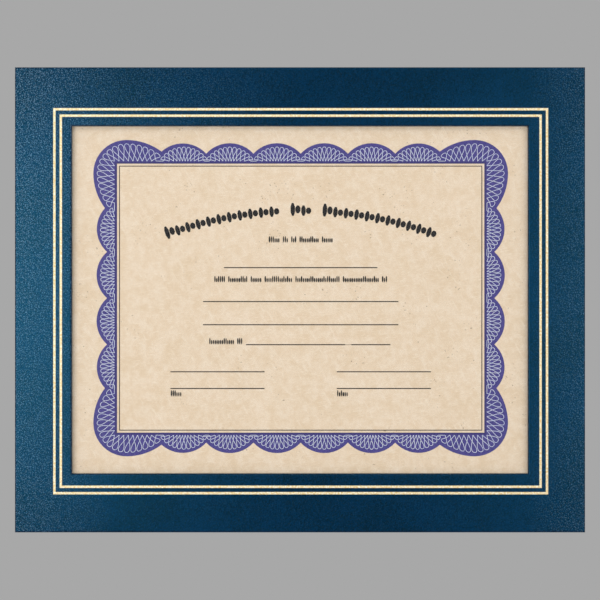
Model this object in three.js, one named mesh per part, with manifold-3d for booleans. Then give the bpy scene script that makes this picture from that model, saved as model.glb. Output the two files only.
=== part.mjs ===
// A landscape certificate frame: a board covered in navy leatherette with two stamped gold lines,
// a clear window, a letter-size certificate in a pocket open at the top, and a board back with an
// easel leg and a hanging ring. Millimetres. The face looks along -Y, +X is right and +Z is up.
// The origin is the middle of the frame, on the rear face of the folded leg.
import * as THREE from "three";
import { mergeVertices } from "three/addons/utils/BufferGeometryUtils.js";
import Module from "manifold-3d";

// Outside of the frame, and the sheet that it holds.
const FRAME_WIDTH = 333.4;
const FRAME_HEIGHT = 272;
const SHEET_WIDTH = 279.4;
const SHEET_HEIGHT = 215.9;
const WINDOW_OVERLAP = 6.35; // the window edge covers this much of the sheet on each side

// Layers from back to front, with a film of glue or air between neighbours.
const LEG_THICKNESS = 2.5;
const COVER_PAPER = 0.25;
const BACK_BOARD = 2;
const POCKET_DEPTH = 1.5;
const FRONT_BOARD = 2.4;
const COVERING = 0.6;
const FILM = 0.25;
const SHEET = 0.2;
const INK = 0.1;
const GLUE = 0.02;

// Covering and gold lines.
const ROLL_RADIUS = 1.1; // front edges, where the covering rolls over the board
const REAR_RADIUS = 0.5;
const OUTER_TURN_IN = 15;
const WINDOW_TURN_IN = 9;
const FILM_LAP = 4; // film beyond the window edge, glued to the window turn-in
const FOIL_WIDTH = 1.4;
const FOIL = 0.1;
const FOIL_SUNK = 0.04; // the stamping leaves the foil below the covering
const FOIL_SPACING = 3.75; // centre line to centre line
const FOIL_FROM_WINDOW = 6.8; // window edge to the centre line of the inner foil
const FOIL_SHIFT_X = 0.4; // the die sits a little off centre
const FOIL_SHIFT_Z = -0.8;

// Pocket and back.
const POCKET_CLEARANCE = 0.8;
const BACK_INSET = 1.2; // back board and spacers stand in from the covered edge
const COVER_INSET = 2; // covering paper inside the edge of the back board
const NOTCH_WIDTH = 38;
const NOTCH_REACH = 7; // how far the thumb notch uncovers the sheet

// Easel leg.
const LEG_TOP_WIDTH = 48;
const LEG_FOOT_WIDTH = 84;
const LEG_TOP = 56;
const LEG_TAB = 26; // glued part above the score
const LEG_FOOT_CLEARANCE = 9; // foot above the lower edge of the frame
const SCORE_DEPTH = 1.4;
const SCORE_WIDTH = 2.2;

// Hanging ring and its clip.
const RING_HEIGHT = 82; // pivot above the middle of the frame
const RING_WIRE = 1.4;
const RING_BAR = 17;
const RING_DROP = 15;
const RING_CORNER = 2.6;
const CLIP_WIDTH = 5;
const CLIP_TIN = 0.35;
const CLIP_PLAY = 0.12; // wire to clip
const CLIP_PRONG = 8;
const SLOT_CLEARANCE = 0.25;

// Print on the sheet, from the middle of the printed field.
const FIELD_MARGIN_X = 31.95; // sheet edge to the straight inner edge of the border
const FIELD_MARGIN_Z = 29.05;
const PRINT_SHIFT_X = 0.4;
const PRINT_SHIFT_Z = 1;
const SCALLOPS_ACROSS = 6;
const SCALLOPS_DOWN = 4;
const SCALLOP_PEAK = 12; // heights above the inner edge
const SCALLOP_VALLEY = 5.85;
const CORNER_PEAK = 13.9;
const CORNER_VALLEY = 7.1;
const CORNER_REACH = 26.1; // inner corner to the valley beside it
const CORNER_CENTRE = 5.6; // arc centre in from the inner corner
const END_SCALLOP_TRIM = 1.5;
const TRACERY_BASE = 1.5; // above the inner edge
const TRACERY_MARGIN = 2.2; // inside the outline
const TRACERY_LINE = 0.32;
const TRACERY_SPREAD = 54; // degrees to each side of a scallop's middle
const SCALLOP_WAVES = 11;
const CORNER_WAVES = 19;
const INNER_RULE_INSET = 1.45;
const INNER_RULE = 0.45;

const HEADING_RADIUS = 227;
const HEADING_BASE = 48.3;
const HEADING_RISE = 7.6;
const HEADING_CELL = 6.27;
const HEADING_TIP = 1.3;
const HEADING_GROUPS = [11, 2, 11];
const HAIRLINE = 0.16; // joins the marks of one line

// Small print: cells per word, and the height of each line's middle.
const LINE_CELL = 1.64;
const LINE_BAR = 1.6;
const UPPER_LINE = [4, 2, 2, 7, 4];
const UPPER_LINE_HEIGHT = 33.9;
const MIDDLE_LINE = [4, 7, 4, 10, 16, 13, 2];
const MIDDLE_LINE_HEIGHT = 10.6;
const DATE_LINE = [9, 2];
const DATE_LINE_LEFT = -53.8;
const DATE_LINE_HEIGHT = -25.8;
const LABEL_LINE = [4];
const LABEL_DROP = 3.4; // under the rule that it belongs to

// Blank rules, to be written on.
const BLANK_RULE = 0.55;
const NAME_RULE_HALF = 45;
const NAME_RULE_HEIGHT = 17.9;
const WIDE_RULE_HALF = 57.3;
const WIDE_RULE_HEIGHT = -2;
const WIDE_RULE_PITCH = 13.6;
const DATE_RULE_LEFT = -32.1;
const DATE_RULE_BREAK = 26.2;
const DATE_RULE_RESUME = 29.7;
const DATE_RULE_RIGHT = 52.6;
const DATE_RULE_HEIGHT = -27.3;
const SIGN_RULE_INNER = 21.2;
const SIGN_RULE_OUTER = 76.4;
const SIGN_RULE_HEIGHT = -43.2;
const SIGN_RULE_PITCH = 9.8;

const WINDOW_WIDTH = SHEET_WIDTH - 2 * WINDOW_OVERLAP;
const WINDOW_HEIGHT = SHEET_HEIGHT - 2 * WINDOW_OVERLAP;
const FIELD_WIDTH = SHEET_WIDTH - 2 * FIELD_MARGIN_X;
const FIELD_HEIGHT = SHEET_HEIGHT - 2 * FIELD_MARGIN_Z;

// Depths of the layers. A slab is placed by its rear face and grows towards -Y.
const COVER_REAR = -LEG_THICKNESS - GLUE;
const BACK_REAR = COVER_REAR - COVER_PAPER - GLUE;
const POCKET_REAR = BACK_REAR - BACK_BOARD;
const POCKET_FRONT = POCKET_REAR - POCKET_DEPTH;
const TURN_IN_REAR = POCKET_FRONT - GLUE;
const BOARD_REAR = TURN_IN_REAR - COVERING - GLUE;
const BOARD_FACE = BOARD_REAR - FRONT_BOARD;
const FACE = BOARD_FACE - GLUE - COVERING;
const FILM_REAR = POCKET_FRONT + FILM;
const SHEET_FRONT = FILM_REAR + 2 * (INK + GLUE) + GLUE;
const RING_AXIS = COVER_REAR + RING_WIRE / 2 + CLIP_PLAY + CLIP_TIN + GLUE;

const wasm = await Module();
wasm.setup();

function solid(geometry) {
  const bare = geometry.clone();
  bare.deleteAttribute("normal");
  bare.deleteAttribute("uv");
  const merged = mergeVertices(bare, 1e-4);
  return new wasm.Manifold(
    new wasm.Mesh({
      numProp: 3,
      vertProperties: merged.getAttribute("position").array,
      triVerts: new Uint32Array(merged.getIndex().array),
    }),
  );
}

function geometryOf(manifold) {
  const mesh = manifold.getMesh();
  const geometry = new THREE.BufferGeometry();
  geometry.setAttribute("position", new THREE.BufferAttribute(mesh.vertProperties, 3));
  geometry.setIndex(new THREE.BufferAttribute(mesh.triVerts, 1));
  geometry.computeVertexNormals();
  return geometry;
}

const material = (color, roughness, metalness) =>
  new THREE.MeshStandardMaterial({ color, roughness, metalness });

const leatherette = () => material("#123f63", 0.5, 0);
const gold = () => material("#f2dc96", 0.28, 1);
const chipboard = () => material("#93897a", 0.9, 0);
const clearFilm = () =>
  new THREE.MeshStandardMaterial({
    color: "#f4f7f7",
    roughness: 0.08,
    metalness: 0,
    transparent: true,
    opacity: 0.12,
  });
const parchment = () => material("#ebd5b9", 0.85, 0);
const violetInk = () => material("#585298", 0.8, 0);
const paleInk = () => material("#c8d7f0", 0.8, 0);
const brownInk = () => material("#6e5a4b", 0.8, 0);
const blackInk = () => material("#17120f", 0.8, 0);
const blackPaper = () => material("#1d1d20", 0.8, 0);
const tin = () => material("#b9bab6", 0.35, 1);
const plated = () => material("#c9cacb", 0.25, 1);

function piece(name, geometry, finish) {
  const mesh = new THREE.Mesh(geometry, finish);
  mesh.name = name;
  return mesh;
}

const thick = (shape, depth) => new THREE.ExtrudeGeometry(shape, { depth, bevelEnabled: false });

// Lays a flat piece, drawn face down, with its rear at a given depth and its face towards -Y.
function laid(name, geometry, rear, finish) {
  const mesh = piece(name, geometry, finish);
  mesh.rotation.x = Math.PI / 2;
  mesh.position.y = rear;
  return mesh;
}

const slab = (name, shape, rear, thickness, finish) =>
  laid(name, thick(shape, thickness), rear, finish);

// A bar of one section along X, from a section drawn in the two other directions.
function barAlongX(section, length) {
  const bar = thick(section, length);
  bar.translate(0, 0, -length / 2);
  const x = new THREE.Vector3(1, 0, 0);
  const y = new THREE.Vector3(0, 1, 0);
  const z = new THREE.Vector3(0, 0, 1);
  return bar.applyMatrix4(new THREE.Matrix4().makeBasis(y, z, x));
}

function rectangle(left, right, bottom, top) {
  const shape = new THREE.Shape();
  shape.moveTo(left, bottom);
  shape.lineTo(right, bottom);
  shape.lineTo(right, top);
  shape.lineTo(left, top);
  shape.closePath();
  return shape;
}

// Points of a mitred section: half sizes of the rectangle through the point, and its depth.
const fromEdge = (inwards, y) => ({
  x: FRAME_WIDTH / 2 - inwards,
  z: FRAME_HEIGHT / 2 - inwards,
  y,
});
const fromWindow = (outwards, y) => ({
  x: WINDOW_WIDTH / 2 + outwards,
  z: WINDOW_HEIGHT / 2 + outwards,
  y,
});

// A rounded corner of a section, about a centre, between two angles in degrees.
function rolled(place, distance, y, radius, from, to) {
  const points = [];
  const steps = 6;
  for (let i = 0; i <= steps; i++) {
    const angle = THREE.MathUtils.degToRad(from + ((to - from) * i) / steps);
    points.push(place(distance + radius * Math.cos(angle), y + radius * Math.sin(angle)));
  }
  return points;
}

// Carries a closed section round the frame with mitred corners: a four-sided lathe whose rows are
// drawn out to their rectangles.
function mitredRing(section) {
  const closed = [...section, section[0]].reverse();
  const rows = closed.map((p) => new THREE.Vector2(p.x, p.y));
  const geometry = new THREE.LatheGeometry(rows, 4, Math.PI / 4);
  const position = geometry.getAttribute("position");
  for (let i = 0; i < position.count; i++) {
    const p = closed[i % closed.length];
    position.setX(i, Math.sign(position.getX(i)) * p.x);
    position.setZ(i, Math.sign(position.getZ(i)) * p.z);
  }
  geometry.computeVertexNormals();
  return geometry;
}

function foilLine(fromInner, clearance, sunk, thickness) {
  const near = FOIL_FROM_WINDOW + fromInner - FOIL_WIDTH / 2 - clearance;
  const far = near + FOIL_WIDTH + 2 * clearance;
  const top = FACE + sunk;
  return mitredRing([
    fromWindow(near, top),
    fromWindow(near, top + thickness),
    fromWindow(far, top + thickness),
    fromWindow(far, top),
  ]);
}

// The covering in one piece: face, both rolled edges and the turn-ins on the rear, stamped for the foil.
function covering() {
  const t = COVERING;
  const rear = TURN_IN_REAR;
  const skin = mitredRing([
    ...rolled(fromEdge, ROLL_RADIUS, FACE + ROLL_RADIUS, ROLL_RADIUS, 180, 270),
    ...rolled(fromWindow, ROLL_RADIUS, FACE + ROLL_RADIUS, ROLL_RADIUS, 270, 180),
    ...rolled(fromWindow, REAR_RADIUS, rear - REAR_RADIUS, REAR_RADIUS, 180, 90),
    fromWindow(WINDOW_TURN_IN, rear),
    fromWindow(WINDOW_TURN_IN, rear - t),
    fromWindow(t, rear - t),
    fromWindow(t, FACE + t),
    fromEdge(t, FACE + t),
    fromEdge(t, rear - t),
    fromEdge(OUTER_TURN_IN, rear - t),
    fromEdge(OUTER_TURN_IN, rear),
    ...rolled(fromEdge, REAR_RADIUS, rear - REAR_RADIUS, REAR_RADIUS, 90, 180),
  ]);
  let stamped = solid(skin);
  for (const fromInner of [0, FOIL_SPACING]) {
    const groove = foilLine(fromInner, GLUE, -1, 1 + FOIL_SUNK + FOIL + GLUE);
    groove.translate(FOIL_SHIFT_X, 0, FOIL_SHIFT_Z);
    stamped = stamped.subtract(solid(groove));
  }
  return geometryOf(stamped);
}

function frontBoard() {
  const inset = COVERING + GLUE;
  return mitredRing([
    fromEdge(inset, BOARD_REAR),
    fromEdge(inset, BOARD_FACE),
    fromWindow(inset, BOARD_FACE),
    fromWindow(inset, BOARD_REAR),
  ]);
}

function front() {
  const group = new THREE.Group();
  group.name = "front";
  const inner = piece("foil_line_inner", foilLine(0, 0, FOIL_SUNK, FOIL), gold());
  const outer = piece("foil_line_outer", foilLine(FOIL_SPACING, 0, FOIL_SUNK, FOIL), gold());
  for (const line of [inner, outer]) line.position.set(FOIL_SHIFT_X, 0, FOIL_SHIFT_Z);
  const halfWidth = WINDOW_WIDTH / 2 + FILM_LAP;
  const halfHeight = WINDOW_HEIGHT / 2 + FILM_LAP;
  const window = rectangle(-halfWidth, halfWidth, -halfHeight, halfHeight);
  group.add(
    piece("front_covering", covering(), leatherette()),
    piece("front_board", frontBoard(), chipboard()),
    inner,
    outer,
    slab("clear_window", window, FILM_REAR, FILM, clearFilm()),
  );
  return group;
}

// Points of the circle of a given radius that passes through two points and bulges to the left of
// the way from one to the other. The last point is left for the next arc.
function bulge(a, b, radius, steps) {
  const middle = a.clone().add(b).multiplyScalar(0.5);
  const half = a.distanceTo(b) / 2;
  const along = b.clone().sub(a).normalize();
  const left = new THREE.Vector2(-along.y, along.x);
  const centre = middle.addScaledVector(left, -Math.sqrt(radius * radius - half * half));
  const start = Math.atan2(a.y - centre.y, a.x - centre.x);
  const sweep = -2 * Math.asin(half / radius);
  const points = [];
  for (let i = 0; i < steps; i++) {
    const angle = start + (sweep * i) / steps;
    const ray = new THREE.Vector2(Math.cos(angle), Math.sin(angle));
    points.push(ray.multiplyScalar(radius).add(centre));
  }
  return points;
}

// Radius of the arc over a chord with a given rise, and of the arc that starts level and falls.
const scallopRadius = (chord, rise) => (chord * chord) / (8 * rise) + rise / 2;
const shoulderRadius = (run, fall) => (run * run + fall * fall) / (2 * fall);

// One side of the border, drawn along +X with the field below, from its first corner to its last.
function sideOfBorder(length, height, count) {
  const valley = length / 2 - CORNER_REACH;
  const pitch = (2 * (valley + END_SCALLOP_TRIM)) / count;
  const level = height / 2;
  const run = CORNER_REACH - CORNER_CENTRE;
  const shoulder = shoulderRadius(run, CORNER_PEAK - CORNER_VALLEY);
  const radius = scallopRadius(pitch, SCALLOP_PEAK - SCALLOP_VALLEY);
  const stops = [new THREE.Vector2(-valley, level + CORNER_VALLEY)];
  for (let i = 1; i < count; i++) {
    stops.push(new THREE.Vector2((i - count / 2) * pitch, level + SCALLOP_VALLEY));
  }
  stops.push(new THREE.Vector2(valley, level + CORNER_VALLEY));
  const crest = new THREE.Vector2(length / 2 - CORNER_CENTRE, level + CORNER_PEAK);
  const points = bulge(new THREE.Vector2(-crest.x, crest.y), stops[0], shoulder, 8);
  for (let i = 0; i < count; i++) points.push(...bulge(stops[i], stops[i + 1], radius, 12));
  points.push(...bulge(stops[count], crest, shoulder, 8));
  const turn = crest.clone();
  turn.x += CORNER_CENTRE + CORNER_PEAK;
  turn.y -= CORNER_CENTRE + CORNER_PEAK;
  points.push(...bulge(crest, turn, CORNER_CENTRE + CORNER_PEAK, 10));
  return points;
}

function quarterTurned(points, quarters) {
  const origin = new THREE.Vector2();
  return points.map((p) => p.clone().rotateAround(origin, (-quarters * Math.PI) / 2));
}

function borderShape() {
  const across = sideOfBorder(FIELD_WIDTH, FIELD_HEIGHT, SCALLOPS_ACROSS);
  const down = sideOfBorder(FIELD_HEIGHT, FIELD_WIDTH, SCALLOPS_DOWN);
  const outline = [across, down, across, down].flatMap((side, i) => quarterTurned(side, i));
  const shape = new THREE.Shape(outline);
  const x = FIELD_WIDTH / 2;
  const z = FIELD_HEIGHT / 2;
  shape.holes.push(rectangle(-x, x, -z, z));
  return shape;
}

// A wave between a base line near the field and tips near the outline, each with a short flat.
function wave(base, tips, waves) {
  const points = [];
  for (let i = 0; i < waves; i++) {
    const at = (share) => (i + share) / waves;
    points.push(base(at(0.15)), tips(at(0.35)), tips(at(0.65)), base(at(0.85)));
  }
  return points;
}

// The tracery of one scallop is a fan about the centre of the scallop's arc.
function scallopOfTracery(middle, level, radius) {
  const line = level + TRACERY_BASE;
  const centre = new THREE.Vector2(middle, level + SCALLOP_PEAK - radius);
  const spread = THREE.MathUtils.degToRad(TRACERY_SPREAD);
  const lean = (s) => THREE.MathUtils.lerp(-spread, spread, s);
  const base = (s) => new THREE.Vector2(centre.x + (line - centre.y) * Math.tan(lean(s)), line);
  const tips = (s) => {
    const ray = new THREE.Vector2(Math.sin(lean(s)), Math.cos(lean(s)));
    return ray.multiplyScalar(radius - TRACERY_MARGIN).add(centre);
  };
  return wave(base, tips, SCALLOP_WAVES);
}

// The tracery along one side, with the corner at its end.
function sideOfTracery(length, height, count) {
  const valley = length / 2 - CORNER_REACH;
  const pitch = (2 * (valley + END_SCALLOP_TRIM)) / count;
  const radius = scallopRadius(pitch, SCALLOP_PEAK - SCALLOP_VALLEY);
  const points = [];
  for (let i = 0; i < count; i++) {
    const from = i === 0 ? -valley : (i - count / 2) * pitch;
    const to = i === count - 1 ? valley : (i + 1 - count / 2) * pitch;
    points.push(...scallopOfTracery((from + to) / 2, height / 2, radius));
  }
  return [...points, ...cornerOfTracery(length, height, valley)];
}

function cornerOfTracery(length, height, valley) {
  const corner = new THREE.Vector2(length / 2, height / 2);
  const centre = corner.clone().subScalar(CORNER_CENTRE);
  const round = CORNER_CENTRE + CORNER_PEAK - TRACERY_MARGIN;
  const run = CORNER_REACH - CORNER_CENTRE;
  const shoulder = shoulderRadius(run, CORNER_PEAK - CORNER_VALLEY);
  const base = (s) => {
    const reach = (length / 2 - valley + TRACERY_BASE) * (1 - 2 * Math.min(s, 1 - s));
    const point = corner.clone().addScalar(TRACERY_BASE);
    if (s < 0.5) point.x -= reach;
    else point.y -= reach;
    return point;
  };
  const shoulderPoint = (along) => {
    const fall = shoulder - Math.sqrt((shoulder - TRACERY_MARGIN) ** 2 - along * along);
    return CORNER_PEAK - fall;
  };
  const tips = (s) => {
    const side = 0.34;
    if (s < side) {
      const along = run * (1 - s / side);
      return new THREE.Vector2(centre.x - along, corner.y + shoulderPoint(along));
    }
    if (s > 1 - side) {
      const along = run * (1 - (1 - s) / side);
      return new THREE.Vector2(corner.x + shoulderPoint(along), centre.y - along);
    }
    const angle = (Math.PI / 2) * (1 - (s - side) / (1 - 2 * side));
    const ray = new THREE.Vector2(Math.cos(angle), Math.sin(angle));
    return ray.multiplyScalar(round).add(centre);
  };
  return wave(base, tips, CORNER_WAVES);
}

// A closed line of one width and depth through the points: a lathe with one station per point,
// each station moved to its place on the line.
function ribbon(points, width, depth) {
  const corners = [
    [-1, 0],
    [-1, depth],
    [1, depth],
    [1, 0],
    [-1, 0],
  ];
  const rows = corners.map(([side, rise]) => new THREE.Vector2(2 + side, rise));
  const geometry = new THREE.LatheGeometry(rows, points.length);
  const position = geometry.getAttribute("position");
  for (let i = 0; i <= points.length; i++) {
    const here = points[i % points.length];
    const before = points[(i + points.length - 1) % points.length];
    const after = points[(i + 1) % points.length];
    const a = here.clone().sub(before).normalize();
    const b = after.clone().sub(here).normalize();
    const normal = new THREE.Vector2(-a.y - b.y, a.x + b.x).normalize();
    const mitre = width / 2 / Math.max(normal.dot(new THREE.Vector2(-a.y, a.x)), 0.5);
    corners.forEach(([side, rise], k) => {
      const p = here.clone().addScaledVector(normal, side * mitre);
      position.setXYZ(i * corners.length + k, p.x, p.y, rise);
    });
  }
  return geometry;
}

function tracery() {
  const across = sideOfTracery(FIELD_WIDTH, FIELD_HEIGHT, SCALLOPS_ACROSS);
  const down = sideOfTracery(FIELD_HEIGHT, FIELD_WIDTH, SCALLOPS_DOWN);
  const points = [across, down, across, down].flatMap((side, i) => quarterTurned(side, i));
  return ribbon(points, TRACERY_LINE, INK);
}

function innerRuleShape() {
  const x = FIELD_WIDTH / 2 - INNER_RULE_INSET + INNER_RULE / 2;
  const z = FIELD_HEIGHT / 2 - INNER_RULE_INSET + INNER_RULE / 2;
  const shape = rectangle(-x, x, -z, z);
  const w = INNER_RULE;
  shape.holes.push(rectangle(w - x, x - w, w - z, z - w));
  return shape;
}

const cellsOf = (groups) => groups.reduce((sum, count) => sum + count, 0) + groups.length - 1;

// A row of plain marks in groups, where the sheet has lettering. Each mark is a lozenge with clipped
// ends, and a hairline joins them. place(u, v) turns distance along the row and height into a point.
function rowOfMarks(groups, cell, rise, tip, place) {
  const upper = [];
  const lower = [];
  const thread = HAIRLINE / 2;
  const middle = rise / 2;
  let u = (-cellsOf(groups) * cell) / 2;
  for (const count of groups) {
    for (let i = 0; i < count; i++) {
      const ends = [u + 0.06 * cell, u + cell / 2 - tip / 2, u + cell / 2 + tip / 2, u + 0.94 * cell];
      ends.forEach((at, k) => {
        const tall = k === 1 || k === 2;
        upper.push(place(at, tall ? rise : middle + thread));
        lower.push(place(at, tall ? 0 : middle - thread));
      });
      u += cell;
    }
    u += cell;
  }
  return new THREE.Shape([...upper, ...lower.reverse()]);
}

function headingShape() {
  const radius = HEADING_RADIUS;
  return rowOfMarks(HEADING_GROUPS, HEADING_CELL, HEADING_RISE, HEADING_TIP, (u, v) => {
    const angle = u / (radius + HEADING_RISE / 2);
    const reach = radius + v;
    return new THREE.Vector2(
      reach * Math.sin(angle),
      HEADING_BASE - radius + reach * Math.cos(angle),
    );
  });
}

// Small print as one plain bar per word on a hairline, from its left end or centred.
function lineShape(words, height, left = (-cellsOf(words) * LINE_CELL) / 2) {
  const upper = [];
  const lower = [];
  let u = left;
  for (const count of words) {
    const end = u + count * LINE_CELL;
    const steps = [
      [u, HAIRLINE / 2],
      [u, LINE_BAR / 2],
      [end, LINE_BAR / 2],
      [end, HAIRLINE / 2],
    ];
    for (const [at, half] of steps) {
      upper.push(new THREE.Vector2(at, height + half));
      lower.push(new THREE.Vector2(at, height - half));
    }
    u = end + LINE_CELL;
  }
  const outline = [...upper.slice(1, -1), ...lower.slice(1, -1).reverse()];
  return new THREE.Shape(outline);
}

const ruleShape = (left, right, height) =>
  rectangle(left, right, height - BLANK_RULE / 2, height + BLANK_RULE / 2);

// The date rule: two blanks, with a hairline across the gap between them.
function dateRuleShape() {
  const full = BLANK_RULE / 2;
  const thin = HAIRLINE / 2;
  const steps = [
    [DATE_RULE_LEFT, full],
    [DATE_RULE_BREAK, full],
    [DATE_RULE_BREAK, thin],
    [DATE_RULE_RESUME, thin],
    [DATE_RULE_RESUME, full],
    [DATE_RULE_RIGHT, full],
  ];
  const top = steps.map(([x, half]) => new THREE.Vector2(x, DATE_RULE_HEIGHT + half));
  const bottom = steps.map(([x, half]) => new THREE.Vector2(x, DATE_RULE_HEIGHT - half));
  return new THREE.Shape([...top, ...bottom.reverse()]);
}

// Each line of print as a name and a shape.
function linesOfPrint() {
  const lower = SIGN_RULE_HEIGHT - SIGN_RULE_PITCH;
  const label = lower - LABEL_DROP;
  const left = (height) => ruleShape(-SIGN_RULE_OUTER, -SIGN_RULE_INNER, height);
  const right = (height) => ruleShape(SIGN_RULE_INNER, SIGN_RULE_OUTER, height);
  const wide = (height) => ruleShape(-WIDE_RULE_HALF, WIDE_RULE_HALF, height);
  return {
    heading_print: headingShape(),
    line_print_1: lineShape(UPPER_LINE, UPPER_LINE_HEIGHT),
    line_print_2: lineShape(MIDDLE_LINE, MIDDLE_LINE_HEIGHT),
    line_print_3: lineShape(DATE_LINE, DATE_LINE_HEIGHT, DATE_LINE_LEFT),
    label_print_left: lineShape(LABEL_LINE, label, -SIGN_RULE_OUTER),
    label_print_right: lineShape(LABEL_LINE, label, SIGN_RULE_INNER),
    blank_rule_1: ruleShape(-NAME_RULE_HALF, NAME_RULE_HALF, NAME_RULE_HEIGHT),
    blank_rule_2: wide(WIDE_RULE_HEIGHT),
    blank_rule_3: wide(WIDE_RULE_HEIGHT - WIDE_RULE_PITCH),
    date_rule: dateRuleShape(),
    sign_rule_left_upper: left(SIGN_RULE_HEIGHT),
    sign_rule_left_lower: left(lower),
    sign_rule_right_upper: right(SIGN_RULE_HEIGHT),
    sign_rule_right_lower: right(lower),
  };
}

function print() {
  const group = new THREE.Group();
  group.name = "print";
  group.position.set(PRINT_SHIFT_X, 0, PRINT_SHIFT_Z);
  const rear = SHEET_FRONT - GLUE;
  for (const [name, shape] of Object.entries(linesOfPrint())) {
    group.add(slab(name, shape, rear, INK, blackInk()));
  }
  group.add(
    slab("border_print", borderShape(), rear, INK, violetInk()),
    laid("tracery_print", tracery(), rear - INK - GLUE, paleInk()),
    slab("inner_rule_print", innerRuleShape(), rear, INK, brownInk()),
  );
  return group;
}

function certificate() {
  const group = new THREE.Group();
  group.name = "insert";
  const x = SHEET_WIDTH / 2;
  const z = SHEET_HEIGHT / 2;
  const sheet = slab(
    "certificate",
    rectangle(-x, x, -z, z),
    SHEET_FRONT + SHEET,
    SHEET,
    parchment(),
  );
  group.add(sheet, print());
  return group;
}

// Thumb notch in the top edge of the back, drawn into an outline that runs along that edge from
// right to left.
function notched(shape, top, extra) {
  const half = NOTCH_WIDTH / 2 + extra;
  const floor = SHEET_HEIGHT / 2 - NOTCH_REACH + NOTCH_WIDTH / 2;
  shape.lineTo(half, top);
  shape.lineTo(half, floor);
  shape.absarc(0, floor, half, 0, Math.PI, true);
  shape.lineTo(-half, top);
}

function backShape(inset, extra) {
  const x = FRAME_WIDTH / 2 - inset;
  const z = FRAME_HEIGHT / 2 - inset;
  const shape = new THREE.Shape();
  shape.moveTo(-x, -z);
  shape.lineTo(x, -z);
  shape.lineTo(x, z);
  notched(shape, z, extra);
  shape.lineTo(-x, z);
  shape.closePath();
  const halfSlot = CLIP_WIDTH / 2 + SLOT_CLEARANCE;
  const slotRise = CLIP_TIN + SLOT_CLEARANCE;
  shape.holes.push(
    rectangle(-halfSlot, halfSlot, RING_HEIGHT - slotRise, RING_HEIGHT + slotRise),
  );
  return shape;
}

function spacers() {
  const x = FRAME_WIDTH / 2 - BACK_INSET;
  const z = FRAME_HEIGHT / 2 - BACK_INSET;
  const pocket = SHEET_WIDTH / 2 + POCKET_CLEARANCE;
  const floor = -SHEET_HEIGHT / 2 - GLUE;
  const strip = (name, shape) => slab(name, shape, POCKET_REAR - GLUE, POCKET_DEPTH - GLUE, chipboard());
  return [
    strip("spacer_left", rectangle(-x, -pocket, -z, z)),
    strip("spacer_right", rectangle(pocket, x, -z, z)),
    strip("spacer_bottom", rectangle(GLUE - pocket, pocket - GLUE, -z, floor)),
  ];
}

function easelLeg() {
  const foot = LEG_FOOT_CLEARANCE - FRAME_HEIGHT / 2;
  const shape = new THREE.Shape();
  shape.moveTo(-LEG_FOOT_WIDTH / 2, foot);
  shape.lineTo(LEG_FOOT_WIDTH / 2, foot);
  shape.lineTo(LEG_TOP_WIDTH / 2, LEG_TOP - LEG_TAB);
  shape.lineTo(LEG_TOP_WIDTH / 2, LEG_TOP);
  shape.lineTo(-LEG_TOP_WIDTH / 2, LEG_TOP);
  shape.lineTo(-LEG_TOP_WIDTH / 2, LEG_TOP - LEG_TAB);
  shape.closePath();
  const hinge = LEG_TOP - LEG_TAB;
  const score = new THREE.Shape();
  score.moveTo(hinge - SCORE_WIDTH, -SCORE_DEPTH);
  score.lineTo(hinge + SCORE_WIDTH, -SCORE_DEPTH);
  score.lineTo(hinge, SCORE_DEPTH);
  score.closePath();
  const groove = solid(barAlongX(score, LEG_FOOT_WIDTH));
  const leg = solid(thick(shape, LEG_THICKNESS)).subtract(groove);
  return laid("easel_leg", geometryOf(leg), 0, blackPaper());
}

function back() {
  const group = new THREE.Group();
  group.name = "back";
  group.add(
    ...spacers(),
    slab("back_board", backShape(BACK_INSET, 0), BACK_REAR, BACK_BOARD, chipboard()),
    slab("back_paper", backShape(BACK_INSET + COVER_INSET, 1), COVER_REAR, COVER_PAPER, blackPaper()),
    easelLeg(),
  );
  return group;
}

// Tin bent round the wire, pressed together through the slot and spread on the inner face.
function clip() {
  const bore = RING_WIRE / 2 + CLIP_PLAY;
  const loop = bore + CLIP_TIN;
  const inner = POCKET_REAR - GLUE - RING_AXIS;
  const half = Math.asin(CLIP_TIN / loop);
  const section = new THREE.Shape();
  section.moveTo(inner, -CLIP_TIN);
  section.lineTo(inner, -CLIP_PRONG);
  section.lineTo(inner - CLIP_TIN, -CLIP_PRONG);
  section.lineTo(inner - CLIP_TIN, CLIP_PRONG);
  section.lineTo(inner, CLIP_PRONG);
  section.lineTo(inner, CLIP_TIN);
  section.absarc(0, 0, loop, Math.PI - half, half - Math.PI, true);
  section.closePath();
  const hole = new THREE.Path();
  hole.absarc(0, 0, bore, 0, 2 * Math.PI, false);
  section.holes.push(hole);
  return piece("hanger_clip", barAlongX(section, CLIP_WIDTH), tin());
}

// The ring's centre line: a straight bar, two sides and three rounded corners.
class RingLine extends THREE.Curve {
  constructor() {
    super();
    const corners = [
      new THREE.Vector2(RING_BAR / 2, 0),
      new THREE.Vector2(0, -RING_DROP),
      new THREE.Vector2(-RING_BAR / 2, 0),
    ];
    this.path = new THREE.Path();
    this.path.moveTo(0, 0);
    corners.forEach((corner, i) => {
      const before = i === 0 ? new THREE.Vector2() : corners[i - 1];
      const after = i === 2 ? new THREE.Vector2() : corners[i + 1];
      const into = corner.clone().add(before.clone().sub(corner).setLength(RING_CORNER));
      const out = corner.clone().add(after.clone().sub(corner).setLength(RING_CORNER));
      this.path.lineTo(into.x, into.y);
      this.path.quadraticCurveTo(corner.x, corner.y, out.x, out.y);
    });
    this.path.lineTo(0, 0);
  }

  getPoint(t, target = new THREE.Vector3()) {
    const p = this.path.getPointAt(t);
    return target.set(p.x, 0, p.y);
  }
}

function hanger() {
  const group = new THREE.Group();
  group.name = "hanger";
  group.position.set(0, RING_AXIS, RING_HEIGHT);
  const wire = new THREE.TubeGeometry(new RingLine(), 64, RING_WIRE / 2, 8, true);
  group.add(clip(), piece("hanging_ring", wire, plated()));
  return group;
}

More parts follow.
